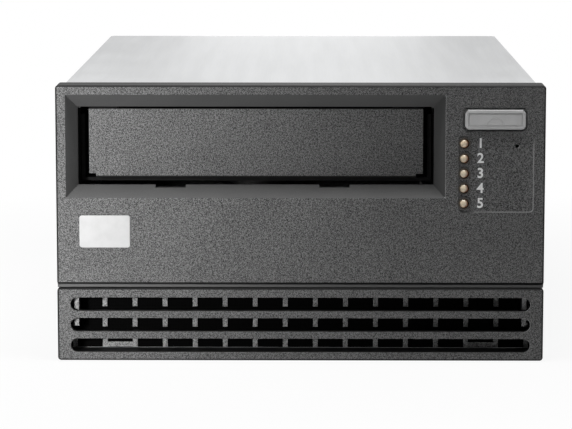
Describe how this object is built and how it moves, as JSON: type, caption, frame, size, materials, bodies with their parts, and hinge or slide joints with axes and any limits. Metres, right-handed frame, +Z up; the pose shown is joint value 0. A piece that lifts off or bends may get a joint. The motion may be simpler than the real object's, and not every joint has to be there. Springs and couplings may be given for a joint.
{
  "type": "data tape drive",
  "caption": "Full-height internal data tape drive with a cartridge slot and swinging door, eject button, loader, reels, moving head and cooling fan.",
  "frame": {"origin": "middle of the bounding box, at the height of the bezel's lower edge", "axes": "+X right seen from the front, +Y back into the drive, +Z up"},
  "size_m": [0.1492, 0.2138, 0.085],
  "materials": {
    "bezel_plastic": "charcoal moulded plastic, fine spark texture",
    "grille_plastic": "charcoal moulded plastic, fine spark texture",
    "door_plastic": "charcoal moulded plastic, fine spark texture",
    "button_plastic": "mid grey moulded plastic, satin",
    "lens_plastic": "cloudy cream lens plastic, gloss",
    "cover_sheet": "bright zinc-plated sheet, satin",
    "black_sheet": "steel sheet, black coated, matt",
    "screen_mesh": "black woven filter mesh, matt",
    "inner_sheet": "zinc-plated sheet, satin",
    "cast_alloy": "die-cast alloy, as cast",
    "machined_alloy": "machined alloy, fine turned",
    "bare_steel": "ground steel, satin",
    "blackened_steel": "steel, black oxide, matt",
    "screw_steel": "zinc-plated steel, satin",
    "acetal": "white acetal, satin",
    "black_plastic": "black glass-filled plastic, matt",
    "circuit_board": "green solder mask over glass laminate",
    "chip_epoxy": "black moulded epoxy, matt",
    "chip_ceramic": "pale light chip, satin",
    "capacitor_can": "bright drawn can",
    "head_ceramic": "dark lapped head ceramic, gloss"
  },
  "bodies": {
    "drive": {"front_bezel": "bezel_plastic", "vent_grille": "grille_plastic", "dust_screen": "screen_mesh", "door_axle": "bare_steel", "eject_switch": "black_plastic", "panel_board": "circuit_board", "panel_screws": "screw_steel", "light_pipes": "lens_plastic", "light_chips": "chip_ceramic", "chassis": "cast_alloy", "top_cover": "cover_sheet", "cover_screws": "screw_steel", "bottom_cover": "inner_sheet", "rear_panel": "inner_sheet", "rear_screws": "screw_steel", "guide_rail_left": "acetal", "guide_rail_right": "acetal", "gear_pin": "bare_steel", "loader_motor": "bare_steel", "supply_bearing": "bare_steel", "supply_motor": "inner_sheet", "take_up_bearing": "bare_steel", "take_up_motor": "inner_sheet", "tape_path_plate": "machined_alloy", "roller_pins": "bare_steel", "head_posts": "bare_steel", "head_bracket": "machined_alloy", "head_stepper": "bare_steel", "main_board": "circuit_board", "board_chips": "chip_epoxy", "board_capacitors": "capacitor_can", "sas_connector": "black_plastic", "service_port": "inner_sheet", "fan_frame": "black_plastic", "fan_screws": "screw_steel"},
    "door": {"cartridge_door": "door_plastic"},
    "button": {"eject_button": "button_plastic", "switch_plunger": "acetal"},
    "loader_carriage": {"carriage": "black_sheet", "carriage_rack": "acetal"},
    "tray": {"cartridge_tray": "black_sheet", "tray_pins": "bare_steel"},
    "loader_wheel": {"loader_gear": "acetal"},
    "motor_wheel": {"motor_pinion": "bare_steel"},
    "supply_spindle": {"supply_chuck": "blackened_steel"},
    "take_up_spindle": {"take_up_reel": "machined_alloy", "leader_block": "acetal"},
    "roller_1": {"guide_roller_1": "machined_alloy"},
    "roller_2": {"guide_roller_2": "machined_alloy"},
    "roller_3": {"guide_roller_3": "machined_alloy"},
    "roller_4": {"guide_roller_4": "machined_alloy"},
    "head_block": {"head_carriage": "machined_alloy", "tape_head": "head_ceramic"},
    "head_screw": {"lead_screw": "bare_steel"},
    "rotor": {"fan_rotor": "black_plastic"}
  },
  "joints": [
    {"name": "door_swing", "type": "hinge", "parent": "drive", "child": "door", "pos_m": [-0.0137, -0.0957, 0.0792], "axis": [1, 0, 0], "range_deg": [0, 86], "stiffness_Nm_per_rad": 0.004, "springref_deg": -11.46},
    {"name": "eject_press", "type": "slide", "parent": "drive", "child": "button", "axis": [0, 1, 0], "range_m": [0, 0.0008], "stiffness_N_per_m": 600},
    {"name": "carriage_slide", "type": "slide", "parent": "drive", "child": "loader_carriage", "axis": [0, 1, 0], "range_m": [0, 0.018]},
    {"name": "tray_drop", "type": "slide", "parent": "loader_carriage", "child": "tray", "axis": [0, 0, -1], "range_m": [0, 0.006]},
    {"name": "loader_wheel_spin", "type": "hinge", "parent": "drive", "child": "loader_wheel", "pos_m": [0.0519, -0.0403, 0.05], "axis": [0, 0, 1], "range_deg": [-163, 1]},
    {"name": "motor_wheel_spin", "type": "hinge", "parent": "drive", "child": "motor_wheel", "pos_m": [0.0579, -0.02991, 0.05], "axis": [0, 0, 1], "range_deg": [-1, 325]},
    {"name": "supply_spin", "type": "hinge", "parent": "drive", "child": "supply_spindle", "pos_m": [-0.0137, -0.0373, 0.048], "axis": [0, 0, 1], "continuous": true},
    {"name": "take_up_spin", "type": "hinge", "parent": "drive", "child": "take_up_spindle", "pos_m": [-0.02, 0.0547, 0.058], "axis": [0, 0, 1], "continuous": true},
    {"name": "roller_1_spin", "type": "hinge", "parent": "drive", "child": "roller_1", "pos_m": [0.0505, -0.0003, 0.0505], "axis": [0, 0, 1], "continuous": true},
    {"name": "roller_2_spin", "type": "hinge", "parent": "drive", "child": "roller_2", "pos_m": [0.057, 0.0127, 0.0505], "axis": [0, 0, 1], "continuous": true},
    {"name": "roller_3_spin", "type": "hinge", "parent": "drive", "child": "roller_3", "pos_m": [0.057, 0.0467, 0.0505], "axis": [0, 0, 1], "continuous": true},
    {"name": "roller_4_spin", "type": "hinge", "parent": "drive", "child": "roller_4", "pos_m": [0.0505, 0.0597, 0.0505], "axis": [0, 0, 1], "continuous": true},
    {"name": "head_lift", "type": "slide", "parent": "drive", "child": "head_block", "axis": [0, 0, 1], "range_m": [0, 0.005]},
    {"name": "head_screw_spin", "type": "hinge", "parent": "drive", "child": "head_screw", "pos_m": [0.064, 0.0297, 0.05], "axis": [0, 0, 1], "continuous": true},
    {"name": "fan_spin", "type": "hinge", "parent": "drive", "child": "rotor", "pos_m": [0.042, 0.0887, 0.0228], "axis": [0, 1, 0], "continuous": true}
  ],
  "couplings": [
    {"joint": "tray_drop", "follows": "carriage_slide", "ratio": 0.33333},
    {"joint": "loader_wheel_spin", "follows": "carriage_slide", "rad_per_m": -156.25},
    {"joint": "motor_wheel_spin", "follows": "carriage_slide", "rad_per_m": 312.5},
    {"joint": "head_screw_spin", "follows": "head_lift", "rad_per_m": 3141.6}
  ]
}
